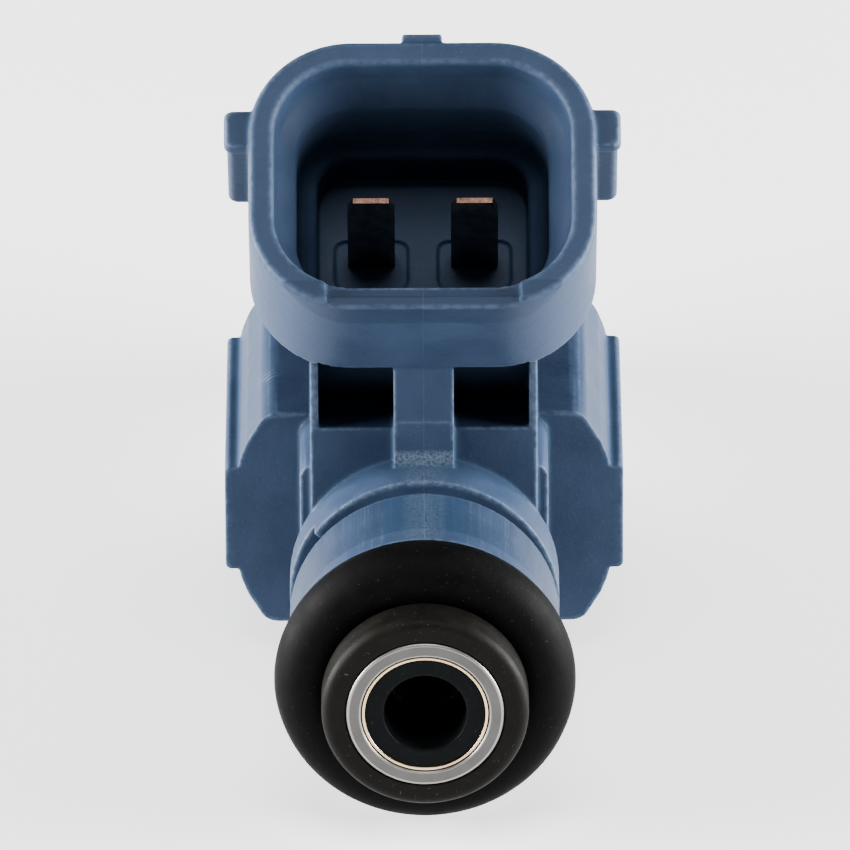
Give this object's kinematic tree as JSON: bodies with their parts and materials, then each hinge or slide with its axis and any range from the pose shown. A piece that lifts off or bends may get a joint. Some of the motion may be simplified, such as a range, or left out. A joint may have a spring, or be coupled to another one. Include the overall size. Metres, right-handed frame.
{
  "type": "fuel injector",
  "caption": "Top-feed petrol fuel injector: a steel inlet tube with sealing rings, a moulded body with an oblique two-pin socket, and a needle valve in a steel nozzle body.",
  "frame": {"origin": "centre of the inlet tube's open end face, on the injector's axis", "axes": "+Y along the injector's axis from the fuel inlet to the nozzle, +Z towards the side that the harness socket leans out of, +X across the body"},
  "size_m": [0.0198, 0.0584, 0.0336],
  "materials": {
    "housing_plastic": "moulded slate-blue glass-filled nylon with a fine satin grain",
    "tube_steel": "turned and brushed stainless steel",
    "retainer_plastic": "dark brown moulded plastic",
    "seal_rubber": "black satin rubber",
    "filter_brass": "thin drawn brass",
    "filter_plastic": "black moulded nylon",
    "mesh_steel": "fine woven strainer",
    "spring_steel": "drawn spring wire",
    "terminal_metal": "stamped copper alloy, tinned and worn at the tip",
    "bobbin_plastic": "natural moulded nylon",
    "winding_copper": "enamelled copper wire",
    "magnet_iron": "machined soft magnetic iron",
    "valve_steel": "ground hardened steel",
    "ball_steel": "polished bearing steel",
    "body_steel": "turned stainless steel",
    "cap_plastic": "black moulded plastic"
  },
  "bodies": {
    "injector_body": {"housing": "housing_plastic", "inlet_tube": "tube_steel", "ring_retainer": "retainer_plastic", "upper_o_ring": "seal_rubber", "filter_sleeve": "filter_brass", "filter_cage": "filter_plastic", "filter_mesh": "mesh_steel", "preload_sleeve": "tube_steel", "return_spring": "spring_steel", "left_terminal": "terminal_metal", "right_terminal": "terminal_metal", "coil_bobbin": "bobbin_plastic", "coil_winding": "winding_copper", "yoke_frame": "magnet_iron", "flux_plate": "magnet_iron", "joint_sleeve": "tube_steel", "stop_washer": "valve_steel", "valve_body": "body_steel", "ball_guide": "valve_steel", "valve_seat": "valve_steel", "orifice_plate": "valve_steel", "lower_o_ring": "seal_rubber", "backing_washer": "retainer_plastic", "nozzle_cap": "cap_plastic"},
    "needle_group": {"armature": "magnet_iron", "needle": "valve_steel", "valve_ball": "ball_steel"}
  },
  "joints": [
    {"name": "needle_lift", "type": "slide", "parent": "injector_body", "child": "needle_group", "axis": [0, -1, 0], "range_m": [0, 0.00008], "stiffness_N_per_m": 1500, "springref_m": -0.0015, "deforming": ["return_spring"]}
  ]
}
